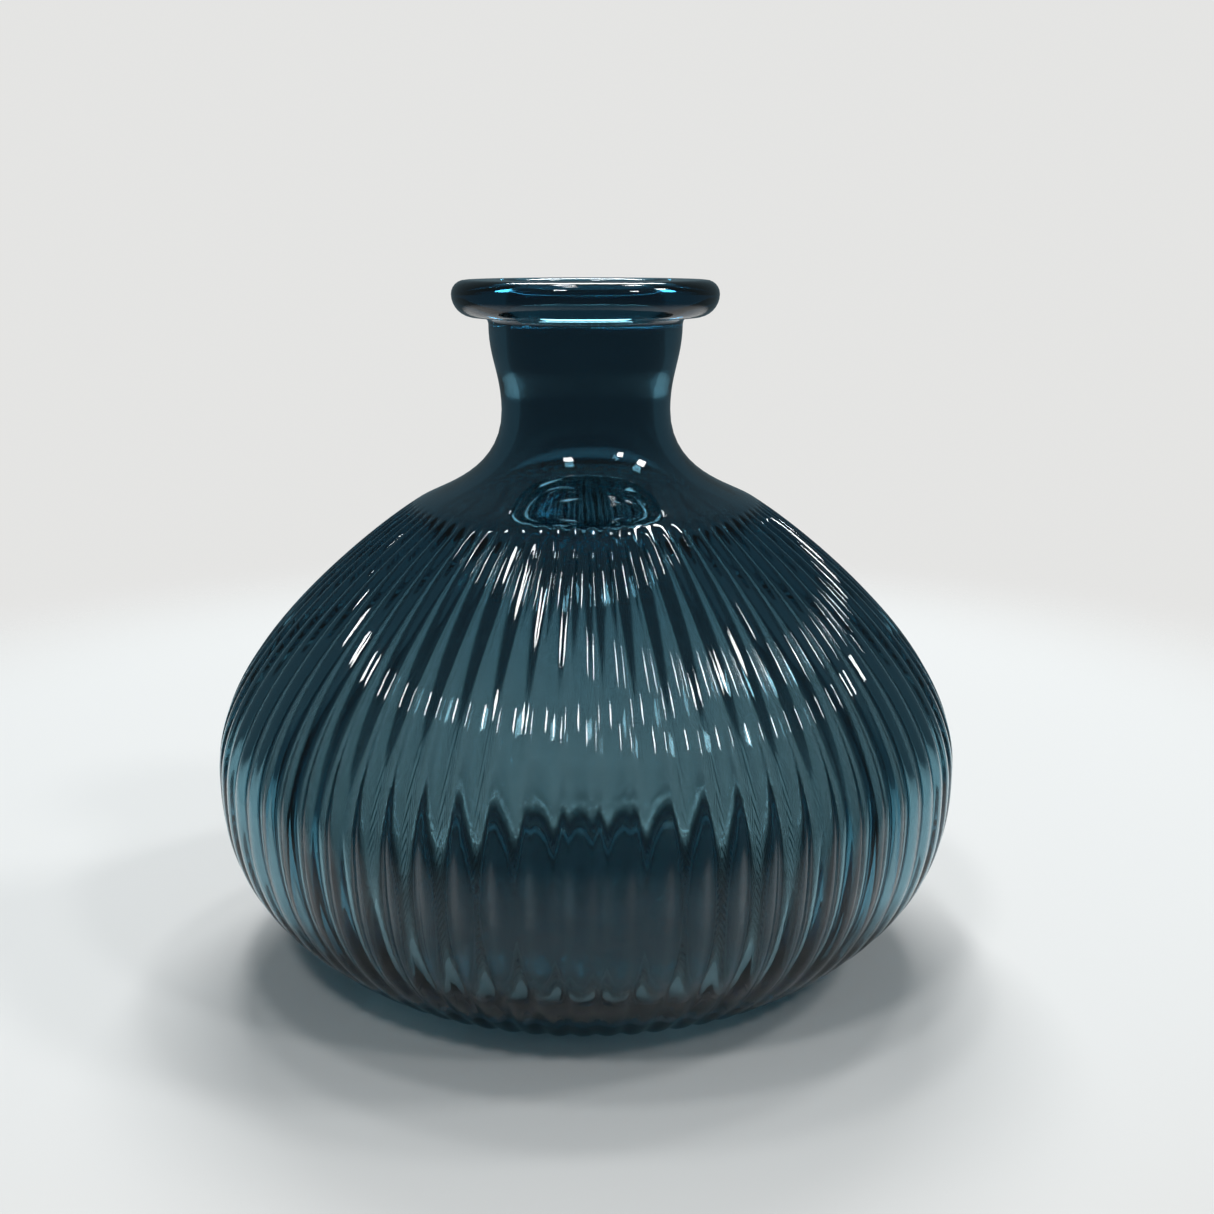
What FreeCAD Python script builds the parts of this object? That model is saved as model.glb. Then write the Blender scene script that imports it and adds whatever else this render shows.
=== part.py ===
"""Glass bud vase: a squat, mould-blown bottle of dark blue glass with seventy-two ribs.

The real vase is one piece of glass with no moving parts.  It is modelled here as the four regions
that a glassmaker works one after another, and they meet face to face:

    base         the thick foot: a flat standing ring around a shallow push-up
    ribbed_body  the bowl and shoulder, ribbed outside and smooth inside
    neck         the smooth tube, waisted in the middle and straight under the lip
    lip_ring     the rounded collar around the mouth

Units are millimetres.  +Z is up, the axis of the vase is Z, and the origin is the middle of the
surface that the vase stands on.
"""

import FreeCAD, Part
import math
import os

# Heights, each measured from the one below it
belly_height = 30.0         # standing surface to the widest line
shoulder_rise = 38.1        # widest line to the circle where the ribs start
neck_root_rise = 13.3       # rib start to the waist of the neck
neck_rise = 13.3            # waist to the underside of the lip
lip_thickness = 5.3

# Radii of the outside, over the crests of the ribs
base_edge_radius = 37.0
belly_radius = 55.0
rib_start_radius = 25.0
lip_overhang = 5.3          # how far the lip stands out from the neck

# Bores and walls
mouth_radius = 11.6
mouth_length = 8.0          # straight stretch of the bore, down from the rounded rim
waist_draw = 1.75           # the bore at the waist is drawn in this far from the mouth
neck_wall = 2.5
body_wall = 3.0
floor_thickness = 5.5       # glass between the standing plane and the lowest point inside
floor_inset = 7.0           # the floor turns up into the bowl this far inside the base edge
heel_share = 0.4            # share of the bowl's outline at which the heel's wall is set
heel_wall = 2.9             # glass there, square to the outside
foot_margin = 0.3           # the plane between base and bowl lies this far above the floor's crown

# Push-up under the base
standing_ring_width = 6.0
push_up_height = 2.2

# Directions that the outline takes, in degrees above the horizontal
heel_slope = 32.0
shoulder_slope = 31.5

# Roundings of the lip
lip_lower_share = 0.62      # share of the lip's thickness that its lower rounding takes
rim_round = 1.2

# Ribs
rib_count = 72
rib_depth = 0.6             # groove below crest, square to the wall
base_rib_depth = 0.3        # the same where the ribs run out at the base edge
rib_fade = 0.3              # share of the shoulder over which the grooves rise to nothing
bowl_sections = 6           # sections that carry the ribs from the base edge to the widest line
shoulder_sections = 8       # and from there to the rib start

# Fullness of each stretch of outline: the pull at its lower and upper end, as shares of its chord
bowl_pull = (0.54, 0.30)
shoulder_pull = (0.34, 0.165)
neck_root_pull = (0.19, 0.50)
neck_pull = (0.42, 0.40)
floor_pull = (0.40, 0.40)
inner_heel_pull = (0.45, 0.306)
inner_bowl_pull = (0.307, 0.378)
dome_pull = (0.34, 0.34)

# Levels and radii that follow from the sizes above
rib_start_height = belly_height + shoulder_rise
waist_height = rib_start_height + neck_root_rise
waist_bore_radius = mouth_radius - waist_draw
lip_height = waist_height + neck_rise
top_height = lip_height + lip_thickness
rim_height = top_height - rim_round
collar_radius = mouth_radius + neck_wall
waist_radius = waist_bore_radius + neck_wall
lip_radius = collar_radius + lip_overhang
lip_lower_round = lip_lower_share * lip_thickness
lip_upper_round = lip_thickness - lip_lower_round
floor_radius = base_edge_radius - floor_inset
floor_crown = floor_thickness + push_up_height
base_height = floor_crown + foot_margin
push_up_radius = base_edge_radius - standing_ring_width
clearance_height = top_height + rim_round   # the cutting shape of the cavity ends above the rim

AXIS_FOOT = FreeCAD.Vector(0, 0, 0)
AXIS = FreeCAD.Vector(0, 0, 1)
UP = (0.0, 1.0)
OUTWARD = (1.0, 0.0)
FULL_TURN = 360.0


def outline_point(radius, height):
    """A point of an outline, in the plane of X and Z."""
    return FreeCAD.Vector(radius, 0, height)


def rising(slope):
    """Unit direction that goes outward and up at a slope in degrees."""
    return (math.cos(math.radians(slope)), math.sin(math.radians(slope)))


def closing(slope):
    """Unit direction that goes inward and up at a slope in degrees."""
    return (-math.cos(math.radians(slope)), math.sin(math.radians(slope)))


def stretch(start, start_direction, end, end_direction, pull):
    """Smooth stretch of outline from start to end, which leaves and arrives as it is told."""
    first = outline_point(*start)
    last = outline_point(*end)
    chord = first.distanceToPoint(last)
    curve = Part.BezierCurve()
    curve.setPoles([
        first,
        first + outline_point(*start_direction) * (pull[0] * chord),
        last - outline_point(*end_direction) * (pull[1] * chord),
        last,
    ])
    return curve


def straight(start, end):
    """Straight stretch of outline."""
    return Part.LineSegment(outline_point(*start), outline_point(*end)).toShape()


def quarter_round(centre, radius, start_angle):
    """Quarter circle that runs anticlockwise from an angle in degrees."""
    points = []
    for turn in (0, 45, 90):
        angle = math.radians(start_angle + turn)
        points.append(outline_point(
            centre[0] + radius * math.cos(angle),
            centre[1] + radius * math.sin(angle),
        ))
    return Part.Arc(*points).toShape()


def turned(edges):
    """Solid of revolution of a closed outline about the axis of the vase."""
    face = Part.Face(Part.Wire(Part.__sortEdges__(edges)))
    return face.revolve(AXIS_FOOT, AXIS, FULL_TURN)


def inset(point, slope, wall):
    """The point one wall thickness inside an outline that closes in at a slope."""
    inward_radius, inward_height = math.sin(math.radians(slope)), math.cos(math.radians(slope))
    return (point[0] - wall * inward_radius, point[1] - wall * inward_height)


# Stations of the outside, from the base edge up
base_edge = (base_edge_radius, 0.0)
belly = (belly_radius, belly_height)
rib_start = (rib_start_radius, rib_start_height)
waist = (waist_radius, waist_height)
collar = (collar_radius, lip_height)

bowl_outline = stretch(base_edge, rising(heel_slope), belly, UP, bowl_pull)
shoulder_outline = stretch(belly, UP, rib_start, closing(shoulder_slope), shoulder_pull)
neck_root_outline = stretch(rib_start, closing(shoulder_slope), waist, UP, neck_root_pull)
neck_outline = stretch(waist, UP, collar, UP, neck_pull)


def under(curve, share, depth):
    """The point that lies a depth inside an outline, square to it."""
    along = curve.tangent(share)[0]
    outward = FreeCAD.Vector(along.z, 0, -along.x).normalize()
    return curve.value(share) - outward * depth


def cavity():
    """Everything inside the glass, from the floor up through the mouth and past the rim."""
    floor_middle = (0.0, floor_crown)
    floor_edge = (floor_radius, floor_thickness)
    heel_place = under(bowl_outline, heel_share, heel_wall)
    heel_run = bowl_outline.tangent(heel_share)[0]
    inner_heel = (heel_place.x, heel_place.z)
    heel_way = (heel_run.x, heel_run.z)
    inner_belly = (belly_radius - body_wall, belly_height)
    inner_rib_start = inset(rib_start, shoulder_slope, body_wall)
    inner_waist = (waist_bore_radius, waist_height)
    bore_foot = (mouth_radius, rim_height - mouth_length)
    bore_head = (mouth_radius, rim_height)
    rim_mouth = (mouth_radius + rim_round, top_height)
    above_mouth = (mouth_radius + rim_round, clearance_height)
    above_middle = (0.0, clearance_height)
    inward_up = closing(shoulder_slope)
    curves = [
        stretch(floor_middle, OUTWARD, floor_edge, OUTWARD, floor_pull),
        stretch(floor_edge, OUTWARD, inner_heel, heel_way, inner_heel_pull),
        stretch(inner_heel, heel_way, inner_belly, UP, inner_bowl_pull),
        stretch(inner_belly, UP, inner_rib_start, inward_up, shoulder_pull),
        stretch(inner_rib_start, inward_up, inner_waist, UP, neck_root_pull),
        stretch(inner_waist, UP, bore_foot, UP, neck_pull),
    ]
    edges = [curve.toShape() for curve in curves]
    edges += [
        straight(bore_foot, bore_head),
        quarter_round((mouth_radius + rim_round, rim_height), rim_round, 90),
        straight(rim_mouth, above_mouth),
        straight(above_mouth, above_middle),
        straight(above_middle, floor_middle),
    ]
    return turned(edges)


def push_up():
    """The shallow dome that leaves a standing ring under the base."""
    rim_slope = 2 * math.degrees(math.atan2(push_up_height, push_up_radius))
    dome = stretch((0.0, push_up_height), OUTWARD, (push_up_radius, 0.0), rising(-rim_slope), dome_pull)
    edges = [
        dome.toShape(),
        straight((push_up_radius, 0.0), (0.0, 0.0)),
        straight((0.0, 0.0), (0.0, push_up_height)),
    ]
    return turned(edges)


def eased(share):
    """Smooth step from nothing at 0 to one at 1."""
    held = min(max(share, 0.0), 1.0)
    return held * held * (3 - 2 * held)


def around(point, degrees):
    """An outline point carried round the axis of the vase."""
    angle = math.radians(degrees)
    return FreeCAD.Vector(point.x * math.cos(angle), point.x * math.sin(angle), point.z)


def section(crest, groove):
    """Closed section of the ribbed glass: one arc for each rib, from groove over crest to groove."""
    pitch = FULL_TURN / rib_count
    arcs = []
    for rib in range(rib_count):
        start = rib * pitch
        arcs.append(Part.Arc(
            around(groove, start),
            around(crest, start + pitch / 2),
            around(groove, start + pitch),
        ).toShape())
    return Part.Wire(arcs)


def ribbed_blank():
    """Solid blank with the ribs on it, from the base edge to the circle where they start."""
    edge_crest = outline_point(*base_edge)
    edge_groove = outline_point(base_edge_radius - base_rib_depth, 0)
    sections = [section(edge_crest, edge_groove)]
    for step in range(1, bowl_sections):
        share = step / bowl_sections
        depth = base_rib_depth + (rib_depth - base_rib_depth) * eased(share)
        groove = under(bowl_outline, share, depth)
        sections.append(section(bowl_outline.value(share), groove))
    for step in range(shoulder_sections):
        share = step / shoulder_sections
        depth = rib_depth * eased((1 - share) / rib_fade)
        groove = under(shoulder_outline, share, depth)
        sections.append(section(shoulder_outline.value(share), groove))
    start = outline_point(*rib_start)
    sections.append(section(start, start))
    return Part.makeLoft(sections, True, False)


def foot_region():
    """Cylinder that holds everything below the plane between base and bowl."""
    return Part.makeCylinder(2 * belly_radius, 2 * base_height, FreeCAD.Vector(0, 0, -base_height))


def neck_blank():
    """Solid of the neck before the cavity is taken out."""
    edges = [
        neck_root_outline.toShape(),
        neck_outline.toShape(),
        straight(collar, (0.0, lip_height)),
        straight((0.0, lip_height), (0.0, rib_start_height)),
        straight((0.0, rib_start_height), rib_start),
    ]
    return turned(edges)


def lip_blank():
    """Solid of the rounded lip before the cavity is taken out."""
    lower_centre = (lip_radius - lip_lower_round, lip_height + lip_lower_round)
    upper_centre = (lip_radius - lip_upper_round, top_height - lip_upper_round)
    edges = [
        straight((0.0, lip_height), (lower_centre[0], lip_height)),
        quarter_round(lower_centre, lip_lower_round, -90),
        quarter_round(upper_centre, lip_upper_round, 0),
        straight((upper_centre[0], top_height), (0.0, top_height)),
        straight((0.0, top_height), (0.0, lip_height)),
    ]
    return turned(edges)


def build():
    """Every node of the vase, by name."""
    hollow = cavity()
    blank = ribbed_blank()
    foot = foot_region()
    return {
        "base": blank.common(foot).cut(push_up()).cut(hollow),
        "ribbed_body": blank.cut(foot).cut(hollow),
        "neck": neck_blank().cut(hollow),
        "lip_ring": lip_blank().cut(hollow),
    }


os.makedirs("parts", exist_ok=True)
for name, shape in build().items():
    shape.exportStep("parts/" + name + ".step")
    print(name, "solids", len(shape.Solids), "valid", shape.isValid(), "volume", round(shape.Volume))
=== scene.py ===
# %% [markdown]
# # A ribbed bud vase in dark blue glass
#
# The real vase is blown into a ribbed mould from one gather of coloured glass.  It is squat and
# round, with seventy-two upright ribs, a smooth waisted neck and a thick rounded lip.
#
# This lesson builds it as one closed skin of glass, because that is what the real one is: the
# light has to enter and leave the glass at real surfaces, and a seam in the middle of the wall
# would show as a ring.  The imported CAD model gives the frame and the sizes, and the new skin
# takes the place of its four regions.

# %% Load the frame
import bmesh
import bpy
import math
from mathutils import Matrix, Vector, noise
from mathutils.geometry import interpolate_bezier


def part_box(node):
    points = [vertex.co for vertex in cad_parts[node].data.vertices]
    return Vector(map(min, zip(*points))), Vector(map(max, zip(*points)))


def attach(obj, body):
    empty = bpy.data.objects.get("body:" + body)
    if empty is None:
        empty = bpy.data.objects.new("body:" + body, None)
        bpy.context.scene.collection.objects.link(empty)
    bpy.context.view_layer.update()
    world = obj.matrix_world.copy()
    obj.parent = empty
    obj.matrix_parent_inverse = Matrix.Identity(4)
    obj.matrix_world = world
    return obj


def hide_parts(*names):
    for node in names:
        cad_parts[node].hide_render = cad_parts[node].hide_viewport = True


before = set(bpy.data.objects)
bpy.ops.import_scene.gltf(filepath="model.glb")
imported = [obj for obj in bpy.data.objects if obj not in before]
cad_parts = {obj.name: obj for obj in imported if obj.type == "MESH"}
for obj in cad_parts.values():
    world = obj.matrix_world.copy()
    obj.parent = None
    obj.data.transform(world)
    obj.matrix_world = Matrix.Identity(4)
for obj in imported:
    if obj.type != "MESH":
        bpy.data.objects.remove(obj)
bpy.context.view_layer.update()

# %% [markdown]
# ## Sizes
#
# A size that the frame knows is read from the frame: how high and wide each region is.  The
# sizes that a box can't tell, such as the wall of the glass or the level of the belly, are named
# here.  A maker of moulds works in millimetres, so MM turns them into Blender's metres.

# %% Sizes from the frame, and the ones that it can't tell
MM = 0.001
CM = 10 * MM

body_low, body_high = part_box("ribbed_body")
neck_low, neck_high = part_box("neck")
lip_low, lip_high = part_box("lip_ring")

belly_radius = 55.0 * MM
belly_height = 30.0 * MM
rib_start_radius = neck_high.x
rib_start_height = neck_low.z
lip_radius = lip_high.x
lip_height = lip_low.z
top_height = lip_high.z

base_edge_radius = 37.0 * MM
push_up_radius = 31.0 * MM
push_up_height = 2.2 * MM
waist_height = rib_start_height + 13.3 * MM
waist_bore_radius = 9.85 * MM
mouth_radius = 11.6 * MM
mouth_length = 8.0 * MM
neck_wall = 2.5 * MM
body_wall = 3.0 * MM
floor_thickness = 5.5 * MM
floor_radius = 30.0 * MM
heel_wall = 2.9 * MM
rim_round = 1.2 * MM
lip_lower_share = 0.62
heel_slope = 32.0
shoulder_slope = 31.5

waist_radius = waist_bore_radius + neck_wall
collar_radius = mouth_radius + neck_wall
rim_height = top_height - rim_round
print("ribbed region, mm high", round((body_high.z - body_low.z) / MM, 1))
print("rib start, mm out and up", round(rib_start_radius / MM, 1), round(rib_start_height / MM, 1))

# %% [markdown]
# ## Drawing an outline
#
# A lathe needs one outline.  It could be a long list of points, but a glassmaker thinks of a few
# stations, such as belly, waist and collar, and of how full the glass swells between them.  A
# Bezier curve says the same thing: two ends, the way the wall runs at each, and how hard each
# end pulls.  A pull of 0.39 of the chord at both ends of a right angle is a quarter circle, and
# one of a third at both ends spaces the points of a nearly straight stretch evenly.

# %% Directions and points of an outline
FULL_TURN = 2 * math.pi
UP = Vector((0, 0, 1))
OUT = Vector((1, 0, 0))


def at(radius, height):
    """A point of an outline, in the plane of X and Z."""
    return Vector((radius, 0, height))


def rising(slope):
    """Direction that runs outward and up at a slope in degrees."""
    return Vector((math.cos(math.radians(slope)), 0, math.sin(math.radians(slope))))


def closing(slope):
    """Direction that runs inward and up at a slope in degrees."""
    return Vector((-math.cos(math.radians(slope)), 0, math.sin(math.radians(slope))))


print("the heel climbs", round(rising(heel_slope).z, 2), "mm for each mm of its length")

# %% [markdown]
# ## Stretches of wall
#
# A stretch runs between two stations.  An outline is a few stretches in a row, and the lathe turns
# it round the axis of the vase.

# %% Helpers for stretches, and the lathe
QUARTER_PULL = (0.39, 0.39)
STRAIGHT_PULL = (0.33, 0.33)


def swell(start, start_way, end, end_way, pull, rows):
    """Points of a smooth stretch of wall, both ends among them."""
    chord = (end - start).length
    first_handle = start + start_way * pull[0] * chord
    last_handle = end - end_way * pull[1] * chord
    return interpolate_bezier(start, first_handle, last_handle, end, rows + 1)


def join(*stretches):
    """One outline of several stretches, with the points that they share taken once."""
    outline = list(stretches[0])
    for stretch in stretches[1:]:
        outline += stretch[1:]
    return outline


def spin_outline(mesh, outline, columns, turn=FULL_TURN, row_tag=None):
    """Turns an outline round the axis of the vase, as on a lathe, and tags each point with its row."""
    verts = [mesh.verts.new(point) for point in outline]
    edges = [mesh.edges.new(pair) for pair in zip(verts, verts[1:])]
    if row_tag:
        for row, vert in enumerate(verts):
            vert[row_tag] = row
    bmesh.ops.spin(
        mesh, geom=verts + edges, cent=(0, 0, 0), axis=(0, 0, 1),
        angle=turn, steps=columns, use_merge=turn == FULL_TURN,
    )


quarter_circle = swell(at(1, 0), UP, at(0, 1), -OUT, QUARTER_PULL, rows=2)
print("radius half way round a quarter circle of radius 1", round(quarter_circle[1].length, 3))

# %% [markdown]
# ## The ribbed outline
#
# There are three outlines, because they need different numbers of columns.  The ribbed outside
# needs ten columns for each rib.  The underside, and the neck with the lip and the whole inside,
# are smooth and need far fewer.  Each ring of the base and of the lip gets a small rounding: hot
# glass has no sharp edge anywhere.
#
# The first outline runs from the rounding of the foot over the heel, the low part of the bowl, and
# over the belly to the top of the ribs.

# %% Stations of the ribbed outside
heel_round = 2.0 * MM
bowl_pull = (0.54, 0.30)
shoulder_pull = (0.34, 0.165)
foot_row = 2
heel_row = 16

base_edge = at(base_edge_radius, 0)
belly = at(belly_radius, belly_height)
rib_start = at(rib_start_radius, rib_start_height)
waist = at(waist_radius, waist_height)
collar = at(collar_radius, lip_height)
shoulder_way = closing(shoulder_slope)

bowl = swell(base_edge, rising(heel_slope), belly, UP, bowl_pull, rows=40)
shoulder = swell(belly, UP, rib_start, shoulder_way, shoulder_pull, rows=40)
heel_foot = at(base_edge_radius - heel_round, 0)
foot_way = (bowl[foot_row + 1] - bowl[foot_row]).normalized()
foot_round = swell(heel_foot, OUT, bowl[foot_row], foot_way, STRAIGHT_PULL, rows=4)
ribbed_outline = join(foot_round, bowl[foot_row:], shoulder)
print("rows on the ribbed outside", len(ribbed_outline) - 1)

# %% [markdown]
# ## The lip and the inside
#
# The lip swells out further below its widest ring than above it.  The inside passes the heel at
# a fixed distance, square to the outside, so the wall stays even from the floor to the belly.

# %% Stations of the lip and of the inside
lip_thickness = top_height - lip_height
lip_lower_round = lip_lower_share * lip_thickness
lip_upper_round = lip_thickness - lip_lower_round
lip_widest = at(lip_radius, lip_height + lip_lower_round)
lip_flat_start = at(lip_radius - lip_upper_round, top_height)
lip_under = at(lip_radius - lip_lower_round, lip_height)
bore_head = at(mouth_radius, rim_height)
bore_foot = at(mouth_radius, rim_height - mouth_length)
rim_top = at(mouth_radius + rim_round, top_height)
inner_waist = at(waist_bore_radius, waist_height)
inward_normal = at(-math.sin(math.radians(shoulder_slope)), -math.cos(math.radians(shoulder_slope)))
inner_rib_start = rib_start + inward_normal * body_wall
inner_belly = at(belly_radius - body_wall, belly_height)
heel_way = (bowl[heel_row + 1] - bowl[heel_row - 1]).normalized()
inner_heel = bowl[heel_row] - at(heel_way.z, -heel_way.x) * heel_wall
floor_edge = at(floor_radius, floor_thickness)
floor_middle = at(0, floor_thickness + push_up_height)
print("wall at the lip's root, mm", round((collar_radius - mouth_radius) / MM, 2))

# %% [markdown]
# ## The smooth outline
#
# One outline goes from the top of the ribs up the neck, over the lip and down inside to the middle
# of the floor.  The inside runs the other way than the outside, so from the neck to the belly it
# takes the same pulls in reverse order.

# %% The smooth outline, from the rib start over the lip and down to the floor
neck_fillet = 0.9 * MM
neck_root_pull = (0.19, 0.50)
neck_top_pull = (0.42, 0.40)
inner_bowl_pull = (0.378, 0.307)
inner_heel_pull = (0.306, 0.45)
floor_pull = (0.40, 0.40)
fillet_start = collar - UP * neck_fillet
fillet_end = collar + OUT * neck_fillet

neck_outside = join(
    swell(rib_start, shoulder_way, waist, UP, neck_root_pull, rows=14),
    swell(waist, UP, fillet_start, UP, neck_top_pull, rows=12),
    swell(fillet_start, UP, fillet_end, OUT, QUARTER_PULL, rows=3),
)
lip_outside = join(
    [fillet_end, lip_under],
    swell(lip_under, OUT, lip_widest, UP, QUARTER_PULL, rows=8),
    swell(lip_widest, UP, lip_flat_start, -OUT, QUARTER_PULL, rows=6),
    swell(lip_flat_start, -OUT, rim_top, -OUT, STRAIGHT_PULL, rows=2),
    swell(rim_top, -OUT, bore_head, -UP, QUARTER_PULL, rows=4),
)
inside = join(
    swell(bore_head, -UP, bore_foot, -UP, STRAIGHT_PULL, rows=4),
    swell(bore_foot, -UP, inner_waist, -UP, neck_top_pull[::-1], rows=8),
    swell(inner_waist, -UP, inner_rib_start, -shoulder_way, neck_root_pull[::-1], rows=12),
    swell(inner_rib_start, -shoulder_way, inner_belly, -UP, shoulder_pull[::-1], rows=34),
    swell(inner_belly, -UP, inner_heel, -heel_way, inner_bowl_pull, rows=22),
    swell(inner_heel, -heel_way, floor_edge, -OUT, inner_heel_pull, rows=18),
    swell(floor_edge, -OUT, floor_middle, -OUT, floor_pull, rows=8),
)
smooth_outline = join(neck_outside, lip_outside, inside)[1:]
print("rows on the smooth outline", len(smooth_outline))

# %% [markdown]
# ## The underside
#
# The vase stands on a flat ring.  Inside the ring the foot is pushed up into a shallow dome, which
# meets the ring in a small rounding.

# %% The underside, from its middle out to the heel
ring_round = 1.5 * MM
dome_pull = (0.34, 0.34)
push_up_slope = 2 * math.degrees(math.atan2(push_up_height, push_up_radius))
push_up_middle = at(0, push_up_height)
ring_inner = at(push_up_radius, 0)
dome_end = ring_inner + rising(180 - push_up_slope) * ring_round
ring_start = ring_inner + OUT * ring_round
underside = join(
    swell(push_up_middle, OUT, dome_end, rising(-push_up_slope), dome_pull, rows=10),
    swell(dome_end, rising(-push_up_slope), ring_start, OUT, STRAIGHT_PULL, rows=3),
    [ring_start, heel_foot],
)[:-1]
print("push-up dips by", round(push_up_slope, 1), "degrees at its rim")

# %% [markdown]
# ## One rib
#
# The section of the ribs is a soft wave: broad crests, and valleys that are a little narrower.
# A lamp shows in a crest and again in a valley, so it gives two dashes for each rib.  A cosine
# gives such a wave, and a power of it narrows the valleys.

# %% The soft wave of the ribs
VALLEY_POWER = 1.6


def eased(share):
    """Smooth step from nothing at 0 to one at 1."""
    held = min(max(share, 0.0), 1.0)
    return held * held * (3 - 2 * held)


def hollow_share(from_groove):
    """Share of the groove's depth: 1 in the groove, and nothing on the crest, which is at 1."""
    return (0.5 + 0.5 * math.cos(math.pi * from_groove)) ** VALLEY_POWER


print("half way from groove to crest the hollow keeps", round(hollow_share(0.5), 2), "of its depth")

# %% [markdown]
# ## The depth of the grooves
#
# The grooves are deepest on the belly, shallower at the foot, and rise to nothing on the shoulder.
# They're pressed square to the wall, so each point of the outline needs its own normal.

# %% How deep the grooves are along the outline
RIB_DEPTH = 0.75 * MM
BASE_RIB_DEPTH = 0.3 * MM
RIB_FADE = 0.08
FOOT_RISE = 2.5
crest_steps = len(ribbed_outline) - 1


def wall_normal(row):
    """Outward normal of the ribbed outline at one of its points."""
    before = ribbed_outline[max(row - 1, 0)]
    after = ribbed_outline[min(row + 1, crest_steps)]
    along = (after - before).normalized()
    return Vector((along.z, 0, -along.x))


def groove_depth(row):
    """How deep the grooves are pressed at a point of the ribbed outline."""
    share = row / crest_steps
    foot = BASE_RIB_DEPTH + (RIB_DEPTH - BASE_RIB_DEPTH) * eased(FOOT_RISE * share)
    return foot * eased((1 - share) / RIB_FADE)


grooves = [groove_depth(row) / MM for row in range(crest_steps + 1)]
print("grooves, mm deep at the foot", round(grooves[0], 2), "and at most", round(max(grooves), 2))

# %% [markdown]
# ## Press the slice
#
# A slice of the outside is spun through one pitch of the ribs, from groove to groove.  It comes
# off the lathe with columns that are evenly spaced.  Each point moves a little towards its nearer
# groove, where the surface bends most, and is then pressed in along the wall's own normal.

# %% Spin one slice and press its grooves
RIB_COUNT = 72
COLUMNS_PER_RIB = 10
RIB_PITCH = FULL_TURN / RIB_COUNT
COLUMN_CROWDING = 1.1


def press(vert, row):
    """Crowds a point of the slice towards its groove and presses it in."""
    middle = RIB_PITCH / 2
    across = (math.atan2(vert.co.y, vert.co.x) - middle) / middle
    from_groove = max(1 - abs(across), 0.0) ** COLUMN_CROWDING
    angle = middle + math.copysign(1 - from_groove, across) * middle
    hollow = hollow_share(from_groove)
    place = ribbed_outline[row] - wall_normal(row) * groove_depth(row) * hollow
    vert.co = (place.x * math.cos(angle), place.x * math.sin(angle), place.z)


glass = bmesh.new()
row_tag = glass.verts.layers.int.new("row")
spin_outline(glass, ribbed_outline, COLUMNS_PER_RIB, RIB_PITCH, row_tag)
for vert in glass.verts:
    press(vert, vert[row_tag])
print("points in one rib", len(glass.verts))

# %% [markdown]
# ## From slices to one closed skin
#
# `bmesh.ops.spin` with `use_duplicate` copies the slice round the axis.  The smooth outlines are
# spun in full.  That leaves three open skins whose rims nearly meet, and `bridge_loops` sews rim
# to rim, even where one rim has over three times as many points as the other.

# %% Copy the rib, spin the smooth parts and sew them together
SMOOTH_COLUMNS = 216
MERGE_DISTANCE = 0.001 * MM


def rims(mesh):
    """The edges of a mesh that have a face on one side only."""
    return [edge for edge in mesh.edges if edge.is_boundary]


smooth_skins = bmesh.new()
spin_outline(smooth_skins, smooth_outline, SMOOTH_COLUMNS)
spin_outline(smooth_skins, underside, SMOOTH_COLUMNS)
bmesh.ops.remove_doubles(smooth_skins, verts=smooth_skins.verts, dist=MERGE_DISTANCE)
bmesh.ops.spin(
    glass, geom=glass.verts[:] + glass.edges[:] + glass.faces[:], cent=(0, 0, 0), axis=(0, 0, 1),
    angle=FULL_TURN, steps=RIB_COUNT, use_duplicate=True,
)
bmesh.ops.remove_doubles(glass, verts=glass.verts, dist=MERGE_DISTANCE)
carrier = bpy.data.meshes.new("smooth_skins")
smooth_skins.to_mesh(carrier)
smooth_skins.free()
glass.from_mesh(carrier)
bpy.data.meshes.remove(carrier)
for at_foot in (True, False):
    facing = [edge for edge in rims(glass) if (edge.verts[0].co.z < belly_height) == at_foot]
    bmesh.ops.bridge_loops(glass, edges=facing)
bmesh.ops.recalc_face_normals(glass, faces=glass.faces)
print("faces", len(glass.faces), "open edges", len(rims(glass)))
print("glass, cm3", round(glass.calc_volume() / CM ** 3, 1))

# %% [markdown]
# ## The hand of the maker
#
# No blown wall is even.  The mould sets the outside, so it is nearly true, but the inside is
# free: it wanders by about a tenth of a millimetre, which is what makes the light inside such a
# vase swim.  The standing ring and the lip stay true.  `mathutils.noise` is the same on every run.

# %% Wander of the walls
OUTSIDE_WANDER = 0.08 * MM
INSIDE_WANDER = 0.15 * MM
WANDER_LENGTH = 17 * MM
STILL_HEIGHT = 3 * MM
INSIDE_SHIFT = Vector((3.1, 0.7, 5.3))

glass.normal_update()
moves = []
for vert in glass.verts:
    inside_wall = vert.normal.x * vert.co.x + vert.normal.y * vert.co.y < 0
    amount = INSIDE_WANDER if inside_wall else OUTSIDE_WANDER
    above_foot = eased((vert.co.z - STILL_HEIGHT) / STILL_HEIGHT)
    below_lip = eased((lip_height - vert.co.z) / lip_thickness)
    drift = noise.noise(vert.co / WANDER_LENGTH + INSIDE_SHIFT * inside_wall)
    moves.append((vert, vert.normal * (amount * (above_foot * below_lip) * drift)))
for vert, move in moves:
    vert.co += move
farthest = max(move.length for vert, move in moves)
print("points moved", len(moves), "farthest, mm", round(farthest / MM, 2))

# %% [markdown]
# ## The skin becomes the vase
#
# One object carries the whole skin.  It stays at the origin, unturned and unscaled, so its own
# coordinates are those of the frame, and the material can tell foot from shoulder by them.  It
# takes the place of all four regions of the CAD model: they're one piece of glass.

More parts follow.
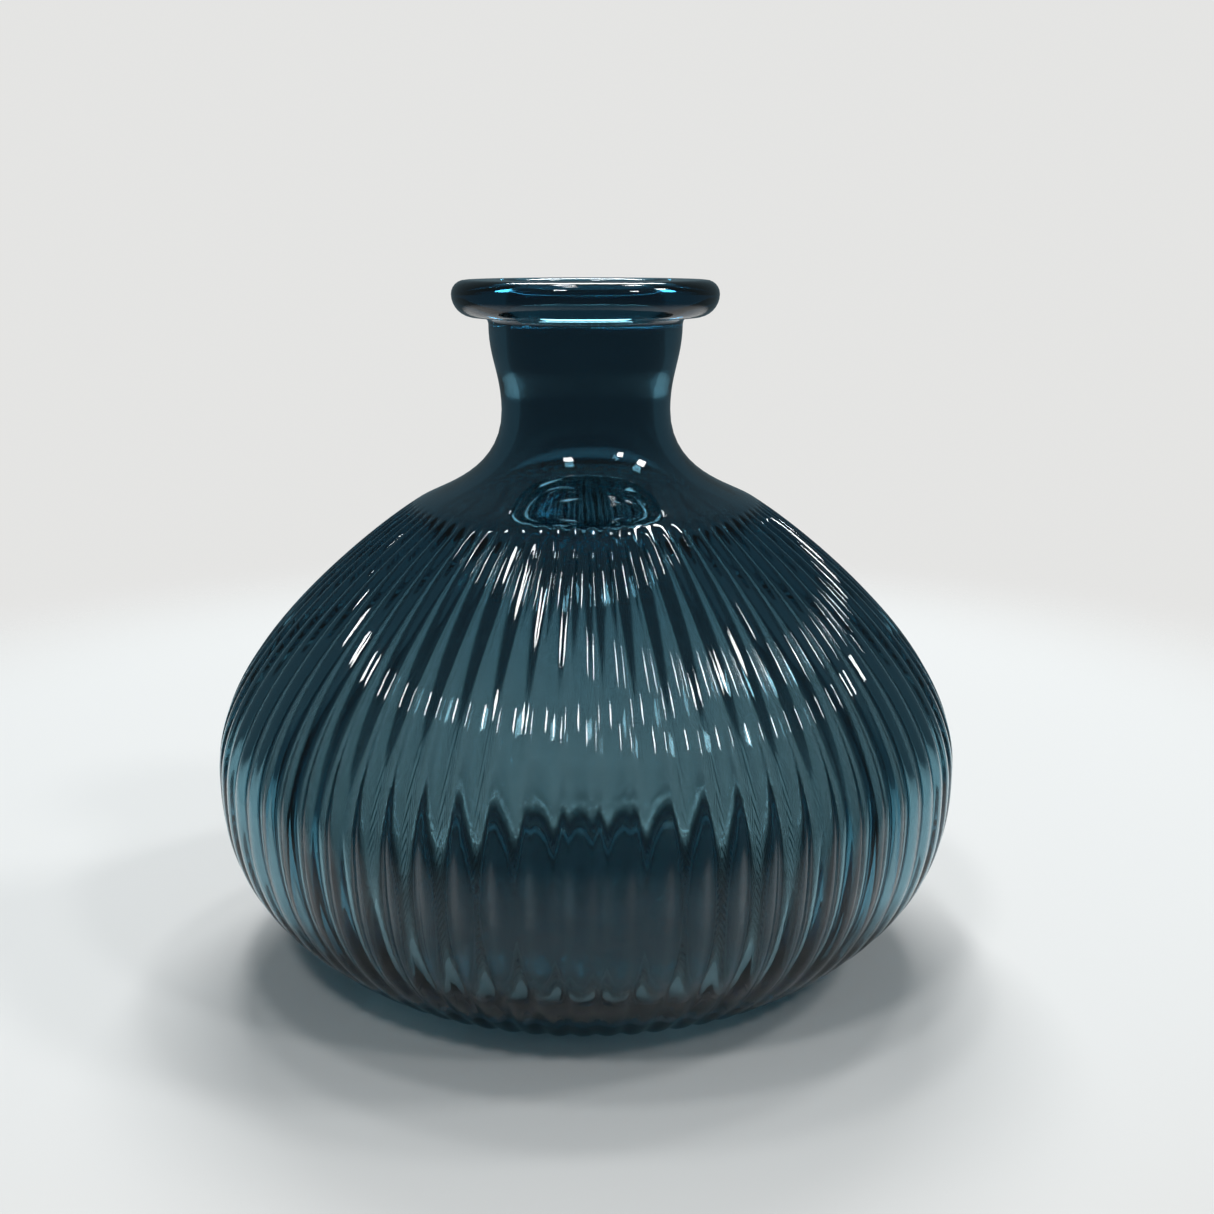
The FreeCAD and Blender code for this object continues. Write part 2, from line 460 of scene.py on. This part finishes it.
# %% Make the object and give it its place in the frame
def add_object(name, data):
    """A new object at the origin, linked to the scene."""
    thing = bpy.data.objects.new(name, data)
    bpy.context.scene.collection.objects.link(thing)
    return thing


vase_mesh = bpy.data.meshes.new("vase_glass")
glass.to_mesh(vase_mesh)
glass.free()
vase_mesh.shade_smooth()
vase = add_object("vase_glass", vase_mesh)
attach(vase, "root")
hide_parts("base", "ribbed_body", "neck", "lip_ring")
vase_mesh.calc_loop_triangles()
print("triangles", len(vase_mesh.loop_triangles))

# %% [markdown]
# ## Dark blue glass
#
# Coloured glass gets its colour inside: the longer the way of the light through it, the deeper
# the blue.  Volume Absorption does that, and it takes most of the red and least of the blue.
# This glass is darker than its thin wall alone explains, because much of the colour lies in a
# skin at the surface.  The surface tint stands for that skin.

# %% The body of the glass
ABSORBED_PER_METRE = (120.0, 55.0, 38.0)
GLASS_IOR = 1.52

blue_glass = bpy.data.materials.new("blue_glass")
blue_glass.use_nodes = True
tree = blue_glass.node_tree
surface = tree.nodes["Principled BSDF"]
surface.inputs["IOR"].default_value = GLASS_IOR
surface.inputs["Transmission Weight"].default_value = 1.0
density = max(ABSORBED_PER_METRE)
absorb = tree.nodes.new("ShaderNodeVolumeAbsorption")
absorb.inputs["Color"].default_value = tuple(1 - part / density for part in ABSORBED_PER_METRE) + (1,)
absorb.inputs["Density"].default_value = density
tree.links.new(absorb.outputs["Volume"], tree.nodes["Material Output"].inputs["Volume"])
vase_mesh.materials.append(blue_glass)
print("blue left after 1 cm of glass", round(math.exp(-CM * ABSORBED_PER_METRE[2]), 2))

# %% [markdown]
# ## The tint of the skin
#
# The skin looks deepest at the neck, so the tint deepens from the belly to the top of the ribs.
# Two helpers do what every material here needs.  One turns a height or a distance into a share of
# a stretch.  The other measures how far a point of the surface is from the object's origin.

# %% The tint deepens towards the neck
BELLY_TINT = (0.39, 0.46, 0.475, 1)
NECK_TINT = (0.155, 0.275, 0.33, 1)


def ramp(tree, source, start, end, from_value=0.0, to_value=1.0, course="LINEAR"):
    """Turns a source that runs from start to end into a value that runs from one value to another."""
    node = tree.nodes.new("ShaderNodeMapRange")
    node.interpolation_type = course
    node.inputs["From Min"].default_value = start
    node.inputs["From Max"].default_value = end
    node.inputs["To Min"].default_value = from_value
    node.inputs["To Max"].default_value = to_value
    tree.links.new(source, node.inputs["Value"])
    return node.outputs["Result"]


def distance(tree, place):
    """How far a point of the surface is from the object's origin."""
    node = tree.nodes.new("ShaderNodeVectorMath")
    node.operation = "LENGTH"
    tree.links.new(place.outputs["Object"], node.inputs[0])
    return node.outputs["Value"]


place = tree.nodes.new("ShaderNodeTexCoord")
parts = tree.nodes.new("ShaderNodeSeparateXYZ")
tree.links.new(place.outputs["Object"], parts.inputs["Vector"])
rise = ramp(tree, parts.outputs["Z"], belly_height, rib_start_height, course="SMOOTHSTEP")
deepening = tree.nodes.new("ShaderNodeMix")
deepening.data_type = "RGBA"
deepening.inputs["A"].default_value = BELLY_TINT
deepening.inputs["B"].default_value = NECK_TINT
tree.links.new(rise, deepening.inputs["Factor"])
print("skin deepens from", round(belly_height / MM), "to", round(rib_start_height / MM), "mm up")

# %% [markdown]
# ## The foot is clearer
#
# Painted light: the tint fades out towards the foot's middle, so the paper that the vase shades
# shows through the foot lighter, as if light reached under the vase.

# %% Painted light: the tint fades out over the foot
PAINTED_LIGHT_FOOT_TINT = (0.90, 0.95, 0.96, 1)
# Share of the surface tint: nothing at the foot's middle, where the painted light is clearest.
surface_tint = ramp(tree, distance(tree, place), floor_radius, base_edge_radius, course="SMOOTHSTEP")
tint = tree.nodes.new("ShaderNodeMix")
tint.data_type = "RGBA"
tint.inputs["A"].default_value = PAINTED_LIGHT_FOOT_TINT
tree.links.new(surface_tint, tint.inputs["Factor"])
tree.links.new(deepening.outputs["Result"], tint.inputs["B"])
tree.links.new(tint.outputs["Result"], surface.inputs["Base Color"])
print("tint fades inwards from", round(base_edge_radius / MM), "to", round(floor_radius / MM), "mm")

# %% [markdown]
# ## What handling does to the gloss
#
# A new vase is fire polished, so the gloss is nearly perfect.  Two things break it.  Fingers and
# dusting leave a haze in soft patches, a little rougher than the rest.  And the standing ring is
# scuffed by every table it has stood on, so that flat ring is frosted.

# %% Haze and scuffs in the roughness
HAZE_SCALE = 70.0
HAZE_DETAIL = 4.0
HAZE_START = 0.35
HAZE_END = 0.75
CLEAR_GLOSS = 0.015
HAZY_GLOSS = 0.06
SCUFFED_GLOSS = 0.4
SCUFF_HEIGHT = 0.5 * MM
haze = tree.nodes.new("ShaderNodeTexNoise")
haze.inputs["Scale"].default_value = HAZE_SCALE
haze.inputs["Detail"].default_value = HAZE_DETAIL
tree.links.new(place.outputs["Object"], haze.inputs["Vector"])
gloss = ramp(tree, haze.outputs["Fac"], HAZE_START, HAZE_END, CLEAR_GLOSS, HAZY_GLOSS)
scuffed = ramp(tree, parts.outputs["Z"], 0.0, SCUFF_HEIGHT, SCUFFED_GLOSS, 0.0)
roughest = tree.nodes.new("ShaderNodeMath")
roughest.operation = "MAXIMUM"
tree.links.new(gloss, roughest.inputs[0])
tree.links.new(scuffed, roughest.inputs[1])
tree.links.new(roughest.outputs["Value"], surface.inputs["Roughness"])
print("roughness from", CLEAR_GLOSS, "to", HAZY_GLOSS, "and", SCUFFED_GLOSS, "on the standing ring")

# %% [markdown]
# ## Striae
#
# Glass that is gathered and blown keeps faint streaks along the way it was drawn: here from the
# foot up to the lip.  They're far too shallow to model, but they bend a reflection, so a bump
# map carries them.  The noise is squeezed across the streaks and stretched along them.

# %% Striae in the bump
STRIA_SQUEEZE = (260.0, 260.0, 25.0)
STRIA_DETAIL = 2.0
STRIA_DEPTH = 0.1 * MM
STRIA_STRENGTH = 0.12
along_draw = tree.nodes.new("ShaderNodeMapping")
along_draw.inputs["Scale"].default_value = STRIA_SQUEEZE
striae = tree.nodes.new("ShaderNodeTexNoise")
striae.inputs["Scale"].default_value = 1.0
striae.inputs["Detail"].default_value = STRIA_DETAIL
ripple = tree.nodes.new("ShaderNodeBump")
ripple.inputs["Strength"].default_value = STRIA_STRENGTH
ripple.inputs["Distance"].default_value = STRIA_DEPTH
tree.links.new(place.outputs["Object"], along_draw.inputs["Vector"])
tree.links.new(along_draw.outputs["Vector"], striae.inputs["Vector"])
tree.links.new(striae.outputs["Fac"], ripple.inputs["Height"])
tree.links.new(ripple.outputs["Normal"], surface.inputs["Normal"])
stria_width, stria_length = (1 / STRIA_SQUEEZE[axis] for axis in (0, 2))
print("striae about", round(stria_width / MM), "mm wide and", round(stria_length / MM), "mm long")

# %% [markdown]
# ## A table that fades into a pale room
#
# The vase stands on a sheet of pale paper.  Glass shows everything around it, so the surroundings
# make half of its look.  Away from the vase the sheet fades into the backdrop, and the shading
# shows no edge.  The room that the glass sees is much dimmer than the backdrop that the camera
# sees: that is what makes the neck and the shoulder nearly black while the low bowl, which looks
# down on the paper, stays lighter.

# %% The sheet of paper
FLOOR_RADIUS = 250 * MM
FADE_START = 115 * MM
FLOOR_SHIFT = 90 * MM
FLOOR_SEGMENTS = 96

disc = bmesh.new()
bmesh.ops.create_circle(disc, cap_ends=True, segments=FLOOR_SEGMENTS, radius=FLOOR_RADIUS)
floor_mesh = bpy.data.meshes.new("studio_floor")
disc.to_mesh(floor_mesh)
disc.free()
floor = add_object("studio_floor", floor_mesh)
floor.location.y = FLOOR_SHIFT
print("sheet of paper, mm across", round(2 * FLOOR_RADIUS / MM))

# %% [markdown]
# ## The finish of the paper
#
# The paper is pale and matt.  A Mix Shader turns it transparent outwards, and a smooth course
# hides where that starts.

# %% Its pale, matt finish, which fades out
PALE_TONE = (0.78, 0.78, 0.77, 1)
PAPER_ROUGHNESS = 0.9

paper = bpy.data.materials.new("pale_paper")
paper.use_nodes = True
tree = paper.node_tree
sheet = tree.nodes["Principled BSDF"]
sheet.inputs["Base Color"].default_value = PALE_TONE
sheet.inputs["Roughness"].default_value = PAPER_ROUGHNESS
clear = tree.nodes.new("ShaderNodeBsdfTransparent")
blend = tree.nodes.new("ShaderNodeMixShader")
from_middle = distance(tree, tree.nodes.new("ShaderNodeTexCoord"))
fade = ramp(tree, from_middle, FADE_START, FLOOR_RADIUS, course="SMOOTHERSTEP")
tree.links.new(fade, blend.inputs["Fac"])
tree.links.new(sheet.outputs["BSDF"], blend.inputs[1])
tree.links.new(clear.outputs["BSDF"], blend.inputs[2])
tree.links.new(blend.outputs["Shader"], tree.nodes["Material Output"].inputs["Surface"])
floor_mesh.materials.append(paper)
print("paper fades from", round(FADE_START / MM), "mm outwards")

# %% [markdown]
# ## Room and backdrop
#
# The world has two faces.  The camera sees the pale backdrop, and every other ray, so also the
# glass, sees the dim room.

# %% The room and the backdrop
ROOM_TONE = (0.085, 0.125, 0.145, 1)

studio = bpy.data.worlds.new("studio")
bpy.context.scene.world = studio
studio.use_nodes = True
tree = studio.node_tree
room = tree.nodes["Background"]
room.inputs["Color"].default_value = ROOM_TONE
backdrop = tree.nodes.new("ShaderNodeBackground")
backdrop.inputs["Color"].default_value = PALE_TONE
path = tree.nodes.new("ShaderNodeLightPath")
pick = tree.nodes.new("ShaderNodeMixShader")
tree.links.new(path.outputs["Is Camera Ray"], pick.inputs["Fac"])
tree.links.new(room.outputs["Background"], pick.inputs[1])
tree.links.new(backdrop.outputs["Background"], pick.inputs[2])
tree.links.new(pick.outputs["Shader"], tree.nodes["World Output"].inputs["Surface"])
bpy.context.scene.view_settings.view_transform = "Standard"
print("the backdrop has", round(PALE_TONE[0] / ROOM_TONE[0], 1), "times the red of the room")

# %% [markdown]
# ## The camera
#
# The vase is seen from close by, a quarter of a metre away, from a little above the lip.  So near
# a camera shows the lip's underside flat and the foot as a deep curve.  It looks along +Y, a
# degree or two off, with a groove nearly in the middle.

# %% Place the camera
CAMERA_AZIMUTH = math.radians(268.33)
CAMERA_DISTANCE = 239.7 * MM
CAMERA_HEIGHT = 104.7 * MM
AIM_HEIGHT = 51.6 * MM
AIM_ASIDE = 3.1 * MM
SENSOR_WIDTH = 36.0
LENS_LENGTH = 48.3
NEAREST_SEEN = CM

toward_camera = Vector((math.cos(CAMERA_AZIMUTH), math.sin(CAMERA_AZIMUTH), 0))
to_right = Vector((-math.sin(CAMERA_AZIMUTH), math.cos(CAMERA_AZIMUTH), 0))
camera_data = bpy.data.cameras.new("camera")
camera_data.sensor_width = SENSOR_WIDTH
camera_data.lens = LENS_LENGTH
camera_data.clip_start = NEAREST_SEEN
camera = add_object("camera", camera_data)
camera.location = toward_camera * CAMERA_DISTANCE + UP * CAMERA_HEIGHT
aim = to_right * AIM_ASIDE + UP * AIM_HEIGHT
camera.rotation_euler = (aim - camera.location).to_track_quat("-Z", "Y").to_euler()
bpy.context.scene.camera = camera
dip = math.degrees(math.asin((camera.location - aim).normalized().z))
print("camera looks down by", round(dip, 1), "degrees")

# %% [markdown]
# ## Soft panels
#
# Each rib is a tall narrow mirror, bent round its own axis, so a lamp shows as a dash in every
# crest that can see it, and in the valley beside it.  The dashes line up into arcs that run
# across the shoulder.  A few small panels high up give the arcs.
#
# A wide, dimmer panel at the back lights the paper behind the vase, and that light comes through
# the low bowl and picks out the ribs.
#
# A build is a width and a height in metres, and a radiance.  A panel is a turn and an elevation in
# degrees, and its build.

# %% Hang the panels
PANEL_AIM = UP * 50 * MM
PANEL_DISTANCE = 2.4


def panel(name, turn, elevation, width, height, radiance):
    """A soft light, so many degrees round the vase, to the right of the camera, and above the table."""
    light = bpy.data.lights.new(name, "AREA")
    light.shape = "RECTANGLE"
    light.size = width
    light.size_y = height
    light.energy = radiance * math.pi * width * height
    lamp = add_object(name, light)
    level = math.radians(elevation)
    angle = CAMERA_AZIMUTH + math.radians(turn)
    flat_way = Vector((math.cos(angle), math.sin(angle), 0))
    way = flat_way * math.cos(level) + UP * math.sin(level)
    lamp.location = PANEL_AIM + way * PANEL_DISTANCE
    lamp.rotation_euler = (-way).to_track_quat("-Z", "Y").to_euler()


SMALL_PANEL = (0.26, 0.26, 28)
LONG_PANEL = (0.36, 0.26, 28)
WIDE_PANEL = (1.2, 0.5, 18)
PANELS = {
    "front_left": (-29, 55, LONG_PANEL),
    "front_right": (51, 44, SMALL_PANEL),
    "right": (88, 48, LONG_PANEL),
    "overhead": (-83, 83, SMALL_PANEL),
    "back_right": (140, 65, SMALL_PANEL),
    "back_left": (-159, 70, SMALL_PANEL),
    "high_back": (180, 47, WIDE_PANEL),
}
for name, (turn, elevation, build) in PANELS.items():
    panel(name + "_panel", turn, elevation, *build)
print("panels", len(PANELS))

# %% [markdown]
# ## Bring the scene up to date
#
# The skin must fill the same box as the CAD model.  Last, the view layer is brought up to date.

# %% Bring the view layer up to date
bpy.context.view_layer.update()
